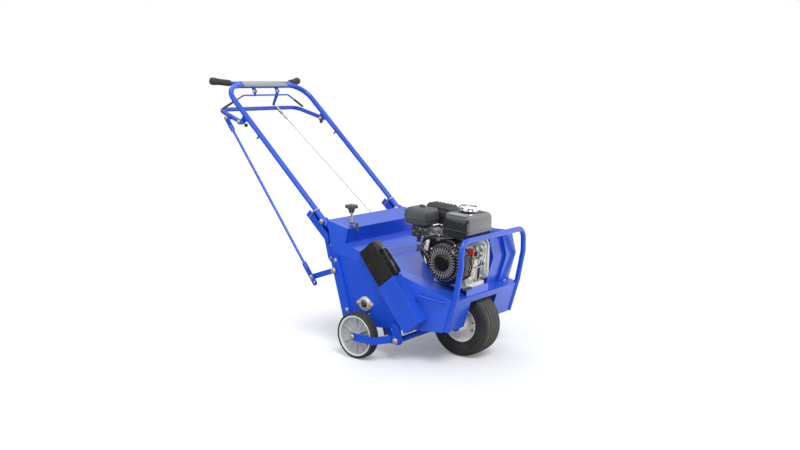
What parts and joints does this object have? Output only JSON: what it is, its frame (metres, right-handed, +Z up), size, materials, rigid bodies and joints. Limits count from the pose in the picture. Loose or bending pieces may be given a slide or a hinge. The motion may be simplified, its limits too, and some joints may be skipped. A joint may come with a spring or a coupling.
{
  "type": "lawn aerator",
  "caption": "Walk-behind lawn aerator: sheet housing over a driven tine reel, small engine, front tyre, lift-up transport wheels, folding tube handle with clutch bail",
  "frame": {"origin": "on the ground, under the middle of the machine's length and width", "axes": "+Z up, +Y towards the handle and the operator, +X to the side of the belt guard"},
  "size_m": [0.774, 1.4704, 1.21],
  "materials": {
    "blue_paint": "gloss powder coat",
    "black_paint": "gloss",
    "black_plastic": "moulded",
    "rubber": "matt",
    "tyre": "matt",
    "zinc": "zinc plated",
    "steel": "plain",
    "cast_aluminium": "cast",
    "chrome": "polished",
    "grey_plastic": "moulded",
    "light_grey_paint": "satin",
    "red_plastic": "gloss",
    "cast_iron": "black, speckled"
  },
  "bodies": {
    "chassis": {"deck_housing": "blue_paint", "side_plate_right": "blue_paint", "side_plate_left": "blue_paint", "front_panel": "blue_paint", "weight_bin_right": "blue_paint", "weight_bin_left": "blue_paint", "rear_cover": "blue_paint", "front_guard": "blue_paint", "belt_guard": "blue_paint", "handle_mount_right": "blue_paint", "handle_mount_left": "blue_paint", "reel_bearing_right": "cast_aluminium", "reel_bearing_left": "cast_aluminium", "wheel_fork": "blue_paint", "engine_block": "cast_aluminium", "fan_shroud": "black_plastic", "recoil_cover": "black_plastic", "fuel_tank": "black_paint", "air_cleaner": "black_plastic", "muffler": "black_paint", "carburettor": "cast_aluminium", "clutch_conduit": "black_plastic", "drive_belt": "rubber", "drive_chain": "steel"},
    "front_wheel": {"front_rim": "light_grey_paint", "front_tyre": "tyre"},
    "wheel_frame": {"wheel_frame": "blue_paint"},
    "rear_wheel_right": {"rear_wheel_right": "grey_plastic", "rear_tyre_right": "tyre"},
    "rear_wheel_left": {"rear_wheel_left": "grey_plastic", "rear_tyre_left": "tyre"},
    "handle": {"handle_frame": "blue_paint", "grip_right": "rubber", "grip_left": "rubber"},
    "lift_handle": {"lift_handle": "blue_paint"},
    "lift_rod": {"lift_rod": "blue_paint"},
    "lift_lever": {"lift_lever": "blue_paint"},
    "drop_link": {"drop_link": "blue_paint"},
    "clutch_bail": {"clutch_bail": "blue_paint"},
    "clutch_wire": {"clutch_cable": "steel", "clutch_spring": "zinc"},
    "idler_arm": {"idler_arm": "blue_paint"},
    "idler_pulley": {"idler_pulley": "steel"},
    "crank_pulley": {"crank_pulley": "steel"},
    "jackshaft": {"jackshaft": "steel"},
    "tine_reel": {"reel_shaft": "steel", "tine_wheel_1": "steel", "tine_wheel_2": "steel", "tine_wheel_3": "steel", "tine_wheel_4": "steel", "tine_wheel_5": "steel"},
    "star_knob": {"star_knob": "black_plastic"},
    "side_weight_right": {"side_weight_right": "cast_iron"},
    "side_weight_left": {"side_weight_left": "cast_iron"},
    "fuel_cap": {"fuel_cap": "chrome"},
    "oil_filler_cap": {"oil_filler_cap": "grey_plastic"},
    "engine_switch": {"engine_switch": "red_plastic"},
    "throttle_lever": {"throttle_lever": "steel"},
    "choke_lever": {"choke_lever": "black_plastic"},
    "recoil_handle": {"recoil_handle": "black_plastic"}
  },
  "joints": [
    {"name": "front_wheel_spin", "type": "hinge", "parent": "chassis", "child": "front_wheel", "pos_m": [0, -0.58719, 0.145], "axis": [1, 0, 0], "continuous": true},
    {"name": "lift_pull", "type": "hinge", "parent": "handle", "child": "lift_handle", "pos_m": [0, 0.52581, 0.999], "axis": [1, 0, 0], "range_deg": [-50, 0]},
    {"name": "wheel_frame_swing", "type": "hinge", "parent": "chassis", "child": "wheel_frame", "pos_m": [0, -0.43819, 0.098], "axis": [1, 0, 0], "range_deg": [0, 27.55]},
    {"name": "rear_wheel_right_spin", "type": "hinge", "parent": "wheel_frame", "child": "rear_wheel_right", "pos_m": [-0.348, -0.25819, 0.1015], "axis": [1, 0, 0], "continuous": true},
    {"name": "rear_wheel_left_spin", "type": "hinge", "parent": "wheel_frame", "child": "rear_wheel_left", "pos_m": [0.348, -0.25819, 0.1015], "axis": [1, 0, 0], "continuous": true},
    {"name": "handle_fold", "type": "hinge", "parent": "chassis", "child": "handle", "pos_m": [0, 0.00381, 0.568], "axis": [1, 0, 0], "range_deg": [0, 90]},
    {"name": "lift_rod_hinge", "type": "hinge", "parent": "lift_handle", "child": "lift_rod", "pos_m": [-0.3085, 0.60481, 1.016], "axis": [1, 0, 0], "range_deg": [0, 48.5]},
    {"name": "lift_lever_hinge", "type": "hinge", "parent": "chassis", "child": "lift_lever", "pos_m": [-0.28, -0.07819, 0.355], "axis": [1, 0, 0], "range_deg": [-26.05, 0]},
    {"name": "drop_link_hinge", "type": "hinge", "parent": "lift_lever", "child": "drop_link", "pos_m": [-0.262, -0.11319, 0.4], "axis": [1, 0, 0], "range_deg": [0, 22.3]},
    {"name": "bail_squeeze", "type": "hinge", "parent": "handle", "child": "clutch_bail", "pos_m": [0, 0.64681, 1.14], "axis": [1, 0, 0], "range_deg": [0, 30], "stiffness_Nm_per_rad": 4, "springref_deg": -17.19},
    {"name": "clutch_wire_pull", "type": "slide", "parent": "handle", "child": "clutch_wire", "axis": [0.0279, 0.8001, 0.5992], "range_m": [0, 0.03901]},
    {"name": "idler_swing", "type": "hinge", "parent": "chassis", "child": "idler_arm", "pos_m": [0.087, -0.42319, 0.478], "axis": [1, 0, 0], "range_deg": [0, 9]},
    {"name": "idler_spin", "type": "hinge", "parent": "idler_arm", "child": "idler_pulley", "pos_m": [0.074, -0.47357, 0.4701], "axis": [1, 0, 0], "continuous": true},
    {"name": "crank_spin", "type": "hinge", "parent": "chassis", "child": "crank_pulley", "pos_m": [0.06, -0.60619, 0.444], "axis": [1, 0, 0], "continuous": true},
    {"name": "jackshaft_spin", "type": "hinge", "parent": "chassis", "child": "jackshaft", "pos_m": [0.15, -0.40819, 0.326], "axis": [1, 0, 0], "continuous": true},
    {"name": "reel_spin", "type": "hinge", "parent": "chassis", "child": "tine_reel", "pos_m": [0, -0.24619, 0.226], "axis": [1, 0, 0], "continuous": true},
    {"name": "knob_turn", "type": "hinge", "parent": "chassis", "child": "star_knob", "pos_m": [-0.222, -0.11619, 0.5], "axis": [0, 0, 1], "continuous": true},
    {"name": "weight_right_lift", "type": "slide", "parent": "chassis", "child": "side_weight_right", "axis": [0, 0.6307, 0.776], "range_m": [0, 0.23]},
    {"name": "weight_left_lift", "type": "slide", "parent": "chassis", "child": "side_weight_left", "axis": [0, 0.6307, 0.776], "range_m": [0, 0.23]},
    {"name": "fuel_cap_turn", "type": "hinge", "parent": "chassis", "child": "fuel_cap", "pos_m": [-0.078, -0.64229, 0.6478], "axis": [0, -0.0785, 0.9969], "range_deg": [0, 90]},
    {"name": "oil_cap_turn", "type": "hinge", "parent": "chassis", "child": "oil_filler_cap", "pos_m": [-0.018, -0.69, 0.38725], "axis": [0, -0.9801, 0.1984], "continuous": true},
    {"name": "switch_turn", "type": "hinge", "parent": "chassis", "child": "engine_switch", "pos_m": [-0.13, -0.68484, 0.48997], "axis": [0, 0.9969, 0.0785], "range_deg": [0, 90]},
    {"name": "throttle_swing", "type": "hinge", "parent": "chassis", "child": "throttle_lever", "pos_m": [-0.16, -0.61594, 0.54234], "axis": [0, -0.0785, 0.9969], "range_deg": [0, 50]},
    {"name": "choke_swing", "type": "hinge", "parent": "chassis", "child": "choke_lever", "pos_m": [-0.149, -0.46297, 0.5616], "axis": [1, 0, 0], "range_deg": [-30, 0]},
    {"name": "recoil_pull", "type": "slide", "parent": "chassis", "child": "recoil_handle", "axis": [0, 0.6655, 0.7464], "range_m": [0, 0.4], "stiffness_N_per_m": 20, "springref_m": -0.3}
  ],
  "couplings": [
    {"joint": "wheel_frame_swing", "follows": "lift_pull", "ratio": -0.551},
    {"joint": "lift_rod_hinge", "follows": "lift_pull", "ratio": -0.97},
    {"joint": "lift_lever_hinge", "follows": "lift_pull", "ratio": 0.521},
    {"joint": "drop_link_hinge", "follows": "lift_pull", "ratio": -0.446},
    {"joint": "clutch_wire_pull", "follows": "bail_squeeze", "m_per_rad": 0.0745},
    {"joint": "idler_swing", "follows": "bail_squeeze", "ratio": 0.3},
    {"joint": "idler_spin", "follows": "crank_spin", "ratio": -1.7273},
    {"joint": "jackshaft_spin", "follows": "crank_spin", "ratio": 0.50667},
    {"joint": "reel_spin", "follows": "crank_spin", "ratio": 0.16889}
  ]
}
